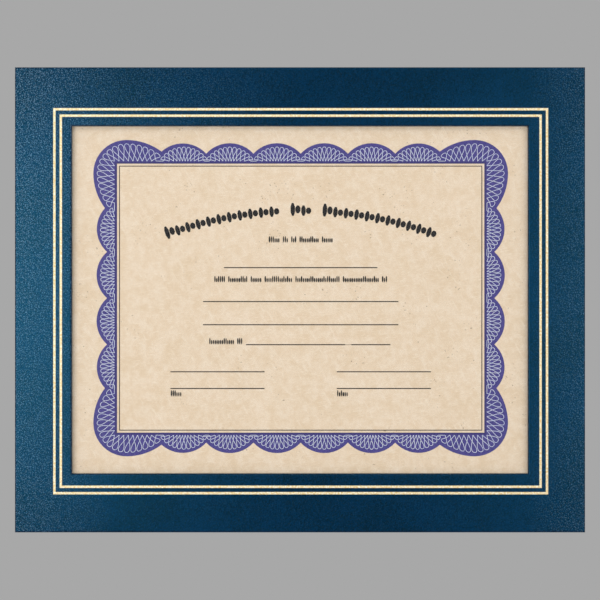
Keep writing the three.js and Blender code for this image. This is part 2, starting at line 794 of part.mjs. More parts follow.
export default new THREE.Group().add(front(), certificate(), back(), hanger());
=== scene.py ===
# %% [markdown]
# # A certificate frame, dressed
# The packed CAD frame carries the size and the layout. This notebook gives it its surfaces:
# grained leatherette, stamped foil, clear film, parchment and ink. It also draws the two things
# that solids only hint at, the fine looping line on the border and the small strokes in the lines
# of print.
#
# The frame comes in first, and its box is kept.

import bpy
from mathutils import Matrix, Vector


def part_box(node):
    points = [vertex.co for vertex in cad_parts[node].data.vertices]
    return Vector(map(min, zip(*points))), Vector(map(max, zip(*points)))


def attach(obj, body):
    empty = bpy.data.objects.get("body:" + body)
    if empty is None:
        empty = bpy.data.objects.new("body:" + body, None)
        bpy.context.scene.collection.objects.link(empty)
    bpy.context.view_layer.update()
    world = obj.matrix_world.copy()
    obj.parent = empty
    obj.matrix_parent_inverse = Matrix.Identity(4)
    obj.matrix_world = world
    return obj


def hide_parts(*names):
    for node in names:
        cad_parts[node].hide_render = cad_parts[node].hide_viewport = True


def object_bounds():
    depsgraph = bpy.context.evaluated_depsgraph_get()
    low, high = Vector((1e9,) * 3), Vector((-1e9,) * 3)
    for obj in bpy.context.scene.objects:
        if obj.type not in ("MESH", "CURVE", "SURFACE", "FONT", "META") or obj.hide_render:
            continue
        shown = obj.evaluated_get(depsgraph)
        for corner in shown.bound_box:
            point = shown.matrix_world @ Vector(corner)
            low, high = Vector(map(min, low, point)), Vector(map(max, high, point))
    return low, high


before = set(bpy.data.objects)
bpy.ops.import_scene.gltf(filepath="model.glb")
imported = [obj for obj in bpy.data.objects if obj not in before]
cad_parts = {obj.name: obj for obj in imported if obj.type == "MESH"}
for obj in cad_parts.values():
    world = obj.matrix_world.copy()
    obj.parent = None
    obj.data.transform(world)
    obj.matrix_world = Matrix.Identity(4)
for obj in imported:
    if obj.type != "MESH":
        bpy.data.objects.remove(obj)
cad_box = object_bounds()
print("nodes:", len(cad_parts))
print("size in mm:", [round(s * 1000, 1) for s in cad_box[1] - cad_box[0]])

# %% [markdown]
# The print is laid out in millimetres, as a printer would, and turned into metres where it becomes
# a mesh. Colours are read off a screen, where they are encoded, and a socket wants linear light, so
# one helper translates them.

# %% Tools
import math
import random

import bmesh
import bpy
from mathutils import Vector

MM = 0.001
scene = bpy.context.scene
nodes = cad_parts


def colour(code):
    """A screen colour such as #123f63 as the linear colour that a socket takes."""
    parts = [int(code[i : i + 2], 16) / 255 for i in (1, 3, 5)]
    linear = [p / 12.92 if p <= 0.04045 else ((p + 0.055) / 1.055) ** 2.4 for p in parts]
    return (*linear, 1.0)


print("a middle grey in linear light:", round(colour("#808080")[0], 4))

# %% [markdown]
# ## A short way to write shaders
# A finish is a recipe: some noise, a threshold, a mix. Written out node by node it can't be read,
# so `Reading` wraps the output of a node. A sum written with it becomes math nodes, and `node` adds
# any other kind. The last few methods are the patterns that this frame's finishes share.


# %% Readings
class Reading:
    """The output of a node. Sums written with it become math nodes in the same tree."""

    def __init__(self, socket):
        self.socket = socket

    def feed(self, socket, value):
        """Links a reading to the socket, or sets a plain value on it."""
        if isinstance(value, Reading):
            self.socket.id_data.links.new(value.socket, socket)
        else:
            socket.default_value = value

    def node(self, kind, inputs, output=0, **settings):
        """Adds a node of any kind, fed as inputs says, and reads one of its outputs."""
        made = self.socket.id_data.nodes.new(kind)
        for name, value in settings.items():
            setattr(made, name, value)
        for key, value in inputs.items():
            self.feed(made.inputs[key], value)
        return Reading(made.outputs[output])

    def maths(self, operation, *terms, clamp=False):
        terms = dict(enumerate(terms))
        return self.node("ShaderNodeMath", terms, operation=operation, use_clamp=clamp)

    def __add__(self, other):
        return self.maths("ADD", self, other)

    def __sub__(self, other):
        return self.maths("SUBTRACT", self, other)

    def __rsub__(self, other):
        return self.maths("SUBTRACT", other, self)

    def __mul__(self, other):
        return self.maths("MULTIPLY", self, other)

    def __truediv__(self, other):
        return self.maths("DIVIDE", self, other)

    def __rtruediv__(self, other):
        return self.maths("DIVIDE", other, self)

    def __abs__(self):
        return self.maths("ABSOLUTE", self)

    __radd__ = __add__
    __rmul__ = __mul__

    def larger(self, other):
        return self.maths("MAXIMUM", self, other)

    def above(self, level, softness):
        """0 below the level and 1 above it, with a ramp that wide between."""
        return self.maths("ADD", (self - level) / softness, 0.5, clamp=True)

    def blend(self, low, high):
        """The first colour where this is 0, the second where it is 1."""
        inputs = {0: self, 6: low, 7: high}
        return self.node("ShaderNodeMix", inputs, 2, data_type="RGBA", clamp_factor=True)

    def noise(self, size, detail=2.0, roughness=0.5):
        """Clouds about that many millimetres wide, read at this place."""
        scale = 1 / (size * MM)
        inputs = {"Vector": self, "Scale": scale, "Detail": detail, "Roughness": roughness}
        return self.node("ShaderNodeTexNoise", inputs)

    def pebbles(self, size):
        """How far the nearest of many scattered points is, for cells that many millimetres wide."""
        return self.node("ShaderNodeTexVoronoi", {"Vector": self, "Scale": 1 / (size * MM)})

    def drawn_out(self, degrees, stretch):
        """This place for a pattern that is stretched along a line at that angle on the front."""
        turn = (0.0, math.radians(-degrees), 0.0)
        inputs = {"Vector": self, "Rotation": turn, "Scale": (stretch, 1.0, 1.0)}
        return self.node("ShaderNodeMapping", inputs, vector_type="TEXTURE")

    def part(self, axis):
        """The X, Y or Z of this place, in metres."""
        return self.node("ShaderNodeSeparateXYZ", {0: self}, axis)

    def relief(self, depth):
        """The slope of a surface where this is the height, in parts of that many millimetres."""
        return self.node("ShaderNodeBump", {"Height": self, "Distance": depth * MM})


print("a reading knows:", [name for name in vars(Reading) if not name.startswith("_")])

# %% [markdown]
# ## A finish is a recipe
# Each finish below is a function. It is given one reading, the place on the object in metres, and
# gives back what goes into each socket of the surface shader. Object coordinates are used for the
# place, because they go along with a piece when its body moves, and no pattern slides over it.


# %% Finish and dress
def finish(name, recipe):
    """A material. The recipe gets the place on the object and says what goes into each socket."""
    if name in bpy.data.materials:  # the packed model's own plain material
        bpy.data.materials[name].name = f"plain_{name}"
    material = bpy.data.materials.new(name)
    material.use_nodes = True
    tree = material.node_tree
    place = Reading(tree.nodes.new("ShaderNodeTexCoord").outputs["Object"])
    for key, value in recipe(place).items():
        place.feed(tree.nodes["Principled BSDF"].inputs[key], value)
    return material


def dress(material, *names):
    """Puts the material on the named nodes of the frame."""
    for name in names:
        for slot in nodes[name].material_slots:
            slot.material = material


print("slots to dress:", sum(len(node.material_slots) for node in nodes.values()))

# %% [markdown]
# ## Leatherette
# On the real frame this is paper or cloth coated with vinyl and pressed between rollers, glued
# round the board and turned in at both edges. The rollers leave shallow pebbles under a millimetre
# wide, and handling rubs pale dust onto their tops. A colour picture would repeat and go soft close
# up, so the pebbles are a relief from cells and noise. The dye is a little uneven, over a few
# centimetres and from one pebble to the next. The pale specks are fine noise drawn out along the
# slant of the grain: a little dust all over, thicker near the upper left corner. Along the upright
# sides, more on the left, they are painted sheen. The coating is glossy with a blue cast, so the
# tint of its shine is set with it.

# %% Leatherette
NAVY_DEEP = colour("#00081b")
NAVY = colour("#002142")
# pale specks: a little dust, and painted sheen along the upright sides
NAVY_DUST_AND_SHEEN = colour("#8aa6c0")
NAVY_SHEEN = (0.08, 0.6, 1.0, 1.0)
PEBBLE = 0.8
GRAIN_DEPTH = 0.055
GRAIN_SLANT = 52.0
DUSTY_CORNER = (-0.15, 0.0, 0.11)
DUST_REACH, DUST_FADE = 0.08, 0.14  # metres from that corner
# painted sheen: pale specks along the upright sides from this far out, shifted to the left
SHEEN_SPECKS_FROM, SHEEN_SPECKS_FADE = 0.15, 0.06  # metres from the middle, to either side
SHEEN_SPECKS_MORE_LEFT = 0.012


def dust_and_sheen_on(place):
    """The share of pale specks: a little dust everywhere, more near the upper left corner, and
    painted sheen along the upright sides, more on the left.
    """
    measure = {0: place, 1: DUSTY_CORNER}
    reach = place.node("ShaderNodeVectorMath", measure, "Value", operation="DISTANCE")
    near = 1 - reach.above(DUST_REACH, DUST_FADE)
    # painted sheen: pale specks along the upright sides, more on the left
    painted_sheen_sides = abs(place.part("X") - SHEEN_SPECKS_MORE_LEFT).above(SHEEN_SPECKS_FROM, SHEEN_SPECKS_FADE)
    specks = place.drawn_out(GRAIN_SLANT, 2.2).noise(0.4, 1.0, 0.5).above(0.6, 0.1)
    return specks * (near * 0.22 + painted_sheen_sides * 0.4 + 0.03)


def leatherette(place):
    press = place.noise(PEBBLE, 3.0, 0.6)
    pebble = place.pebbles(PEBBLE) * 0.6 + press
    grain = place.drawn_out(GRAIN_SLANT, 1.6).noise(0.6, 2.0, 0.7)
    dye = place.noise(40.0, 3.0) * 0.3 + grain * 0.7
    base = dye.above(0.5, 0.2).blend(NAVY_DEEP, NAVY)
    return {
        "Base Color": dust_and_sheen_on(place).blend(base, NAVY_DUST_AND_SHEEN),
        "Roughness": press * 0.12 + 0.19,
        "Specular Tint": NAVY_SHEEN,
        "Normal": pebble.relief(GRAIN_DEPTH),
    }


dress(finish("leatherette", leatherette), "front_covering")
print("pebbles", PEBBLE, "mm wide and", GRAIN_DEPTH, "mm deep")

# %% [markdown]
# ## Foil
# The gold lines are pigment foil pressed in by a heated brass die. It takes the grain of the
# leatherette, so it glints in specks, and along both edges it has not taken in the lowest places.
# That is a hole in the foil, so the edge is broken by the alpha, from the distance to the middle of
# the line. Its pale, nearly white colour is partly painted reflection of the soft boxes, over the
# foil's own gold.

# %% Gold foil
# painted reflection: the near-white stands in for the soft boxes' shine on the gold
GOLD_AND_PAINTED_SHINE = colour("#fff7de")
GOLD_DEEP = colour("#e8c885")
FOIL_HALF = 0.7 * MM
FOIL_SOUND = 0.86  # the share of the half width inside which the foil has mostly taken
FOIL_MISSED = 0.66


def foil_on(name):
    """A finish for the foil ring of that name, broken along both sides of its middle line."""
    low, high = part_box(name)
    half = (high - low) / 2 - Vector((FOIL_HALF, 0, FOIL_HALF))
    middle = (low + high) / 2

    def foil(place):
        across = abs(place.part("X") - middle.x) - half.x
        up = abs(place.part("Z") - middle.z) - half.z
        from_middle = abs(across.larger(up)) / FOIL_HALF
        grain = place.noise(0.7, 3.0, 0.7)
        missed = (from_middle - FOIL_SOUND) * 1.6 + grain * 0.9
        return {
            "Base Color": place.noise(1.0, 2.0).above(0.52, 0.3).blend(GOLD_DEEP, GOLD_AND_PAINTED_SHINE),
            "Metallic": 0.4,
            "Roughness": grain * 0.3 + 0.25,
            "Alpha": 1 - missed.above(FOIL_MISSED, 0.08),
            "Normal": (grain + place.pebbles(PEBBLE) * 0.5).relief(0.2),
        }

    return finish(name, foil)


for ring in ("foil_line_inner", "foil_line_outer"):
    dress(foil_on(ring), ring)
print("foil lines", FOIL_HALF * 2 / MM, "mm wide")

# %% [markdown]
# ## Parchment paper
# The sheet is a writing paper made to look like old parchment: pale clouds and darker blotches
# printed or dyed in, fibres a few millimetres long, and now and then a dark speck. Layers of noise
# at their own sizes give that, all of low contrast, because from a step away the sheet is one warm
# cream.

# %% Parchment
CREAM = colour("#ebd5b9")
CREAM_PALE = colour("#f6e7d3")
CREAM_DARK = colour("#e4ccac")
SPECK = colour("#9a8166")


def parchment(place):
    cloud = place.noise(16.0, 4.0, 0.6)
    blotch = place.noise(4.0, 3.0, 0.6)
    fibres = place.drawn_out(8.0, 4.0).noise(0.8, 2.0).above(0.62, 0.12)
    crossing = place.drawn_out(-60.0, 5.0).noise(1.6, 2.0).above(0.66, 0.1)
    tooth = place.noise(0.8, 2.0, 0.7)
    speck = place.noise(0.9, 0.0).above(0.8, 0.03) * place.noise(11.0, 0.0).above(0.66, 0.02)
    base = cloud.above(0.52, 0.5).blend(CREAM_DARK, CREAM)
    base = (blotch.above(0.53, 0.3) * 0.5).blend(base, CREAM_PALE)
    base = (fibres.larger(crossing) * 0.45).blend(base, CREAM_PALE)
    base = (tooth.above(0.56, 0.2) * 0.5).blend(base, CREAM_DARK)
    return {
        "Base Color": (speck * 0.7).blend(base, SPECK),
        "Roughness": 0.85,
        "Normal": place.noise(0.6, 3.0).relief(0.02),
    }


dress(finish("parchment", parchment), "certificate")
sheet_low, sheet_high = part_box("certificate")
print("sheet in mm:", [round(s / MM, 1) for s in sheet_high - sheet_low])

# %% [markdown]
# ## The violet field
# The border is a flat offset tint, so the paper's own mottle shows through it a little, and it is
# darker in a narrow strip along its inner edge. The strip follows the straight edge, not the
# scallops, so it comes from the distance to the rectangle that the border runs round.

# %% Violet ink
VIOLET = colour("#3d377f")
VIOLET_PALE = colour("#4f488f")
VIOLET_EDGE = colour("#332d69")
TRACERY_BASE = 1.5  # the loops stand on a line this far above the inner edge
CORNER_PEAK = 13.9  # the border's corners rise this far above its inner edge

border_low, border_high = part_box("border_print")
print_centre = (border_low + border_high) / 2
field_half = (border_high - border_low) / 2 / MM - Vector((CORNER_PEAK, 0, CORNER_PEAK))


def violet(place):
    across = abs(place.part("X") - print_centre.x) / MM - field_half.x
    up = abs(place.part("Z") - print_centre.z) / MM - field_half.z
    strip = 1 - across.larger(up).above(TRACERY_BASE * 0.8, 0.3)
    base = place.noise(1.6, 4.0, 0.65).above(0.5, 0.4).blend(VIOLET, VIOLET_PALE)
    return {
        "Base Color": (strip * 0.8).blend(base, VIOLET_EDGE),
        "Roughness": 0.75,
        "Specular IOR Level": 0.2,
    }


dress(finish("violet_ink", violet), "border_print")
print("border runs round, in mm:", [round(s * 2, 1) for s in (field_half.x, field_half.z)])

# %% [markdown]
# ## Plain inks
# The text is black, the inner rule a thin brown black, and the looping line a pale blue white. Such
# an ink is a colour with the paper's tooth, no more, so one function makes all three.

# %% Plain inks
TEXT = sorted(name for name in nodes if name.startswith(("line_print", "label_print")))
RULES = [name for name in nodes if "_rule" in name and name != "inner_rule_print"]


def ink(name, deep, thin):
    """A plain ink: the deep colour, a little thinner where the paper's tooth took less."""

    def recipe(place):
        taken = place.noise(0.8, 3.0).above(0.56, 0.2)
        return {"Base Color": taken.blend(deep, thin), "Roughness": 0.7, "Specular IOR Level": 0.15}

    return finish(name, recipe)


black_ink = ink("black_ink", colour("#0c0909"), colour("#1d1815"))
pale_ink = ink("pale_ink", colour("#f3f8ff"), colour("#d3e0fa"))
brown_ink = ink("brown_ink", colour("#1a120f"), colour("#33261f"))
dress(brown_ink, "inner_rule_print")
dress(black_ink, "heading_print", *TEXT, *RULES)
dress(pale_ink, "tracery_print")
print("text nodes:", len(TEXT), "rules:", len(RULES))

# %% [markdown]
# ## Clear film
# The window is clear film: nearly all of it is see-through. It keeps one constant low alpha, so
# that it stays clear wherever the model goes, and only its faint smear varies.

# %% Clear film
FILM_ALPHA = 0.02


def clear_film(place):
    smear = place.noise(22.0, 3.0).blend(colour("#b8bcc0"), colour("#ced2d6"))
    return {"Base Color": smear, "Alpha": FILM_ALPHA, "Roughness": 0.12}


dress(finish("clear_film", clear_film), "clear_window")
print("film lets through:", 1 - FILM_ALPHA)

# %% [markdown]
# ## Boards and their paper
# Chipboard shows only at cut edges, where grey and brown flecks lie in layers. Layers are noise
# that is squeezed across the board and drawn out along it. The back is black paper embossed like
# linen, with a little lint: two runs of long noise, one level and one upright, cross each other
# and give the weave.

# %% Boards and their paper
BOARD_GREY = colour("#93897a")
BOARD_BROWN = colour("#6f6353")
PAPER_BLACK = colour("#1d1d20")
PAPER_LINT = colour("#4a4a50")
BOARDS = ("front_board", "back_board", "spacer_left", "spacer_right", "spacer_bottom")
LAYERED = (0.15, 2.0, 0.15)
THREAD = 0.7
THREAD_STRETCH = 9.0


def chipboard(place):
    flecks = place.noise(0.9, 4.0, 0.7)
    layers = place.node("ShaderNodeMapping", {"Vector": place, "Scale": LAYERED}).noise(0.8, 2.0)
    return {
        "Base Color": (flecks * 0.6 + layers * 0.4).above(0.5, 0.3).blend(BOARD_BROWN, BOARD_GREY),
        "Roughness": 0.9,
        "Normal": flecks.relief(0.08),
    }


def black_paper(place):
    tooth = place.noise(0.9, 4.0, 0.7)
    level = place.drawn_out(0.0, THREAD_STRETCH).noise(THREAD, 1.0)
    weave = level + place.drawn_out(90.0, THREAD_STRETCH).noise(THREAD, 1.0)
    lint = place.drawn_out(20.0, 6.0).noise(1.1, 1.0).above(0.73, 0.05)
    return {
        "Base Color": (lint * 0.5 + (weave - 0.7) * 0.35).blend(PAPER_BLACK, PAPER_LINT),
        "Roughness": tooth * 0.2 + 0.5,
        "Normal": (tooth * 0.5 + weave).relief(0.09),
    }


dress(finish("chipboard", chipboard), *BOARDS)
dress(finish("black_paper", black_paper), "back_paper", "easel_leg")
print("boards:", len(BOARDS), "threads", THREAD, "mm apart")

# %% [markdown]
# ## Tin and wire
# The clip is tinplate, rolled in one direction, and the ring is plated wire with light handling
# marks. Both are bare metal, so the same noise moves their colour and their roughness together.


# %% Tin and wire
def tinplate(place):
    rolled = place.drawn_out(0.0, 30.0).noise(0.5, 3.0)
    base = rolled.blend(colour("#8f8f8b"), colour("#b9b9b4"))
    return {"Base Color": base, "Metallic": 1.0, "Roughness": rolled * 0.3 + 0.25}


def plated_wire(place):
    marks = place.noise(1.2, 3.0, 0.7)
    base = marks.blend(colour("#a9a292"), colour("#d8d3c4"))
    return {"Base Color": base, "Metallic": 1.0, "Roughness": marks * 0.3 + 0.15}


dress(finish("tin", tinplate), "hanger_clip")
dress(finish("plated_wire", plated_wire), "hanging_ring")
finishes = {slot.material.name for node in nodes.values() for slot in node.material_slots}
print("finishes:", len(finishes))

# %% [markdown]
# ## The looping line
# On the real sheet the border is engine-turned work: one pale line that runs all the way round,
# rising to the scallops' edge and coming back to a base line, with every rise leaning over the one
# before it, so that it crosses itself in a row of slim loops. A lathe for such work turns and
# slides at once. The same two motions give the path here: `rise` goes up and down once per loop,
# and the place along the side swings ahead on the way up and back on the way down.

# %% Loops
LOOP_SWING = 0.88  # how far the line swings to each side on its way up, in loops
STEPS_PER_LOOP = 26
TRACERY_MARGIN = 2.2  # the loops stop this far inside the border's edge


def loops(base, tip, count):
    """A line that loops up from base to tip and back. Both take a share of the way, 0 to 1."""
    points = []
    for step in range(count * STEPS_PER_LOOP):
        turn = math.tau * step / STEPS_PER_LOOP
        rise = (1 - math.cos(turn)) / 2
        share = (turn / math.tau + LOOP_SWING * math.sin(turn) * rise) / count
        points.append(base(share).lerp(tip(share), rise))
    return points


def radius_of(half_chord, rise):
    """The radius of an arc that rises that much over that half chord."""
    return (half_chord**2 + rise**2) / (2 * rise)


print("points in a loop:", STEPS_PER_LOOP)

# %% [markdown]
# A scallop is an arc, and its loops open like a fan from the middle of that arc. So base and tip
# share one lean: the tip is out along it, and the base is where it crosses the base line.

# %% The fan in a scallop
SCALLOP_PEAK = 12.0
SCALLOP_VALLEY = 5.85
SCALLOP_LOOPS = 11
FAN = math.radians(57)  # the outermost loops of a scallop lean this far


def scallop_loops(middle, level, radius):
    """The fan of loops in one scallop, about the centre of the scallop's own arc."""
    centre = Vector((middle, level + SCALLOP_PEAK - radius))
    line = level + TRACERY_BASE

    def base(share):
        return Vector((middle + (line - centre.y) * math.tan(FAN * (2 * share - 1)), line))

    def tip(share):
        lean = FAN * (2 * share - 1)
        return centre + Vector((math.sin(lean), math.cos(lean))) * (radius - TRACERY_MARGIN)

    return loops(base, tip, SCALLOP_LOOPS)


print("loops in a scallop:", SCALLOP_LOOPS)

# %% [markdown]
# A corner lobe is three curves in one: a long flat shoulder, a quarter round, and the other
# shoulder. Their loops stand on two base lines that meet in the corner, and the tips pass from
# curve to curve at fixed shares of the way.

# %% Round a corner
CORNER_VALLEY = 7.1
CORNER_REACH = 26.1  # inner corner to the valley beside it
CORNER_CENTRE = 5.6  # the corner's arc is centred this far in from the inner corner
CORNER_LOOPS = 18
CORNER_FOOT = 24.5  # the corner's loops stand on the base line up to this far from its corner
SHOULDER_SHARE = 0.305  # of the corner's loops, on each flat shoulder


def corner_loops(half_length, level):
    """The loops in one corner lobe: along one shoulder, round the arc and along the other."""
    run = CORNER_REACH - CORNER_CENTRE
    shoulder = radius_of(run, CORNER_PEAK - CORNER_VALLEY)
    centre = Vector((half_length - CORNER_CENTRE, level - CORNER_CENTRE))

    def base(share):
        back = CORNER_FOOT * (1 - 2 * min(share, 1 - share))
        corner = Vector((half_length + TRACERY_BASE, level + TRACERY_BASE))
        return corner - (Vector((back, 0)) if share < 0.5 else Vector((0, back)))

    def height(along):
        return CORNER_PEAK - shoulder + math.sqrt((shoulder - TRACERY_MARGIN) ** 2 - along**2)

    def tip(share):
        if share < SHOULDER_SHARE:
            along = run * (1 - share / SHOULDER_SHARE)
            return Vector((centre.x - along, level + height(along)))
        if share > 1 - SHOULDER_SHARE:
            along = run * (1 - (1 - share) / SHOULDER_SHARE)
            return Vector((half_length + height(along), centre.y - along))
        angle = math.pi / 2 * (1 - (share - SHOULDER_SHARE) / (1 - 2 * SHOULDER_SHARE))
        ray = Vector((math.cos(angle), math.sin(angle)))
        return centre + ray * (CORNER_CENTRE + CORNER_PEAK - TRACERY_MARGIN)

    return loops(base, tip, CORNER_LOOPS)


print("loops in a corner:", CORNER_LOOPS)

# %% [markdown]
# Each side is drawn lying level on top, its scallops first and then the corner at its end, and is
# turned a quarter further round than the one before it. The line ends where it started.

# %% All the way round
SCALLOPS_ACROSS = 6
SCALLOPS_DOWN = 4
END_SCALLOP_TRIM = 1.5  # the corners take this much from the scallops beside them


def side_path(half_length, level, count):
    """The line along one side and round the corner at its end, with the side level on top."""
    valley = half_length - CORNER_REACH
    pitch = 2 * (valley + END_SCALLOP_TRIM) / count
    radius = radius_of(pitch / 2, SCALLOP_PEAK - SCALLOP_VALLEY)
    valleys = [-valley, *((i - count / 2) * pitch for i in range(1, count)), valley]
    points = []
    for left, right in zip(valleys, valleys[1:]):
        points += scallop_loops((left + right) / 2, level, radius)
    return points + corner_loops(half_length, level)


def whole_path():
    """All four sides, each turned a quarter further round."""
    across = (field_half.x, field_half.z, SCALLOPS_ACROSS)
    down = (field_half.z, field_half.x, SCALLOPS_DOWN)
    points = []
    for quarter, side in enumerate((across, down, across, down)):
        for p in side_path(*side):
            for _ in range(quarter):
                p = Vector((p.y, -p.x))
            points.append(p)
    return points


path = whole_path()
print("points on the line:", len(path))

# %% [markdown]
# ## Printing with Geometry Nodes
# Both kinds of fine print end in the same way: flat shapes drawn on the ground plane are stood
# upright at the depth of the ink they stand for, joined and given their ink. `press` builds that
# ending once, round any function that draws the shapes. Its sizes are named inputs, so a shape can
# be tried at another size without touching the tree.

# %% The press
SHARED_SIZES = ("Depth", "Thickness")


def press(name, draw, *own_sizes):
    """A tree: draw makes flat shapes from the points, and the rest stands them up in their ink."""
    tree = bpy.data.node_groups.new(name, "GeometryNodeTree")
    inputs = {"Points": "Geometry", "Ink": "Material"}
    inputs.update({size: "Float" for size in (*SHARED_SIZES, *own_sizes)})
    for label, kind in inputs.items():
        tree.interface.new_socket(label, in_out="INPUT", socket_type=f"NodeSocket{kind}")
    tree.interface.new_socket("Print", in_out="OUTPUT", socket_type="NodeSocketGeometry")
    sockets = tree.nodes.new("NodeGroupInput").outputs
    given = {label: Reading(sockets[label]) for label in inputs}
    shapes = draw(given)
    place = shapes.node("ShaderNodeCombineXYZ", {"Y": given["Depth"]})
    upright = {"Geometry": shapes, "Translation": place, "Rotation": (math.pi / 2, 0, 0)}
    stood = shapes.node("GeometryNodeTransform", upright)
    joined = stood.node("GeometryNodeRealizeInstances", {"Geometry": stood})
    inking = {"Geometry": joined, "Material": given["Ink"]}
    inked = joined.node("GeometryNodeSetMaterial", inking)
    inked.feed(tree.nodes.new("NodeGroupOutput").inputs["Print"], inked)
    return tree


print("sizes that every press asks for:", SHARED_SIZES)

# %% [markdown]
# A tree does nothing until an object carries it. `printed` hangs it on a mesh of bare points, sets
# its inputs by their identifiers, keeps the mesh that comes out and takes the tree away again. The
# frame's own box says how deep and how thick the ink lies, and the faces are turned outwards.


# %% Printing
def face_outwards(mesh):
    """Recalculates the normals of a closed mesh."""
    faces = bmesh.new()
    faces.from_mesh(mesh)
    bmesh.ops.recalc_face_normals(faces, faces=faces.faces)
    faces.to_mesh(mesh)
    faces.free()


def printed(name, mesh, tree, ink_used, stands_for, **own_sizes):
    """Runs the tree over the mesh's points, at the depth of the node that the print replaces."""
    piece = bpy.data.objects.new(name, mesh)
    scene.collection.objects.link(piece)
    low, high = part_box(stands_for)
    values = {"Thickness": high.y - low.y, "Depth": (low.y + high.y) / 2, "Ink": ink_used}
    values.update(own_sizes)
    modifier = piece.modifiers.new(name, "NODES")
    modifier.node_group = tree
    for item in tree.interface.items_tree:
        if item.name in values:
            modifier[item.identifier] = values[item.name]
    evaluated = piece.evaluated_get(bpy.context.evaluated_depsgraph_get())
    made = bpy.data.meshes.new_from_object(evaluated)
    piece.modifiers.remove(modifier)
    piece.data = made
    face_outwards(made)
    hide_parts(stands_for)
    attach(piece, "frame")
    return piece


ink_low, ink_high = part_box("tracery_print")
print("the looping line's ink is", round((ink_high.y - ink_low.y) / MM, 2), "mm thick")

# %% [markdown]
# The path becomes a ribbon: its points are joined by edges, the edges are read as a curve, and a
# thin rectangle is swept along it. The curve's normal is held upright, so the ribbon stays flat
# where it turns back on itself.

# %% The line is printed
LINE_WIDTH = 0.25


def ribbon(given):
    """A flat line of ink along the edges between the points."""
    curve = given["Points"].node("GeometryNodeMeshToCurve", {"Mesh": given["Points"]})
    level = curve.node("GeometryNodeSetCurveNormal", {"Curve": curve}, mode="Z_UP")
    section = {"Width": given["Width"], "Height": given["Thickness"]}
    profile = level.node("GeometryNodeCurvePrimitiveQuadrilateral", section)
    return level.node("GeometryNodeCurveToMesh", {"Curve": level, "Profile Curve": profile})


line = bpy.data.meshes.new("border_loops")
corners = [(p.x * MM + print_centre.x, p.y * MM + print_centre.z, 0.0) for p in path]
line.from_pydata(corners, [(i, (i + 1) % len(corners)) for i in range(len(corners))], [])
line_press = press("looping_line", ribbon, "Width")
border_loops = printed(
    "border_loops", line, line_press, pale_ink, "tracery_print", Width=LINE_WIDTH * MM
)
print("looping line:", len(border_loops.data.polygons), "faces")

# %% [markdown]
# ## Rows of pen strokes
# Every stroke of the text is the same small eight-sided shape, set on a point with its own width,
# height and lean. The points carry those as attributes, so one tree draws any row. The shape itself
# is one unit across its flats, so the sizes on the points are its real ones.

# %% The stroke
STROKE_SIDES = 8
STROKE_RADIUS = 0.54  # middle to corner, so that the flats are one unit apart


def marks(name, strokes):
    """A mesh with a point for each stroke: x and z of its middle, width, height and lean."""
    mesh = bpy.data.meshes.new(name)
    mesh.from_pydata([(x, z, 0.0) for x, z, *_ in strokes], [], [])
    sizes = [size for _, _, width, height, _ in strokes for size in (width, height, 1.0)]
    leans = [turn for *_, lean in strokes for turn in (0.0, 0.0, lean)]
    for label, values in (("size", sizes), ("lean", leans)):
        attribute = mesh.attributes.new(label, "FLOAT_VECTOR", "POINT")
        attribute.data.foreach_set("vector", values)
    return mesh


def pen(given):
    """A stroke on every point, an upright bar with its four corners cut."""
    points = given["Points"]
    sides = {"Vertices": STROKE_SIDES, "Radius": STROKE_RADIUS, "Depth": given["Thickness"]}
    stroke = points.node("GeometryNodeMeshCylinder", sides)
    flats_up = {"Geometry": stroke, "Rotation": (0, 0, math.pi / STROKE_SIDES)}
    upright = stroke.node("GeometryNodeTransform", flats_up)
    size, lean = (
        points.node("GeometryNodeInputNamedAttribute", {"Name": name}, data_type="FLOAT_VECTOR")
        for name in ("size", "lean")
    )
    inputs = {"Points": points, "Instance": upright, "Rotation": lean, "Scale": size}
    return points.node("GeometryNodeInstanceOnPoints", inputs)


pen_press = press("pen_strokes", pen)
print("nodes in the pen's tree:", len(pen_press.nodes))

# %% [markdown]
# ## Lines of small print
# From a step away a line of small print is a row of dark, slightly uneven upright strokes, with a
# gap between words. The places of the words are read off the frame's own bars, so the two can't
# drift apart, and a fixed seed keeps the unevenness the same in every run.

# %% Lines of small print
STROKE_PITCH = 1.08
STROKE_WIDTH = 0.8
STROKE_HEIGHT = 2.5
TALL_STROKE = 1.45
TALL_SHARE = 0.3
UNEVEN = 0.15
EDGE_BAND = 0.02 * MM  # corners this close to the top belong to a bar's upper edge
chance = random.Random(7)


def words_of(name):
    """Where a line's words start and end, read off the upper edge of the frame's bars."""
    edge_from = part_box(name)[1].z - EDGE_BAND
    corners = nodes[name].data.vertices
    edge = sorted({round(v.co.x, 5) for v in corners if v.co.z > edge_from})
    return list(zip(edge[::2], edge[1::2]))


def line_of_strokes(name):
    """The strokes of one line, all standing on one base line."""
    low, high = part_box(name)
    foot = (low.z + high.z - STROKE_HEIGHT * MM) / 2
    strokes = []
    for start, end in words_of(name):
        count = max(2, round((end - start) / (STROKE_PITCH * MM)))
        for i in range(count):
            tall = i == 0 or chance.random() < TALL_SHARE
            height = STROKE_HEIGHT * MM * (TALL_STROKE if tall else 1.0)
            width = STROKE_WIDTH * MM * chance.uniform(1 - UNEVEN, 1 + UNEVEN)
            x = start + (i + 0.5) * (end - start) / count
            strokes.append((x, foot + height / 2, width, height, 0.0))
    return marks(name, strokes)


faces_made = 0
for name in TEXT:
    piece_name = name.replace("print", "strokes")
    row = printed(piece_name, line_of_strokes(name), pen_press, black_ink, name)
    faces_made += len(row.data.polygons)
print("a stroke is", STROKE_WIDTH, "by", STROKE_HEIGHT, "mm, faces in the small print:", faces_made)

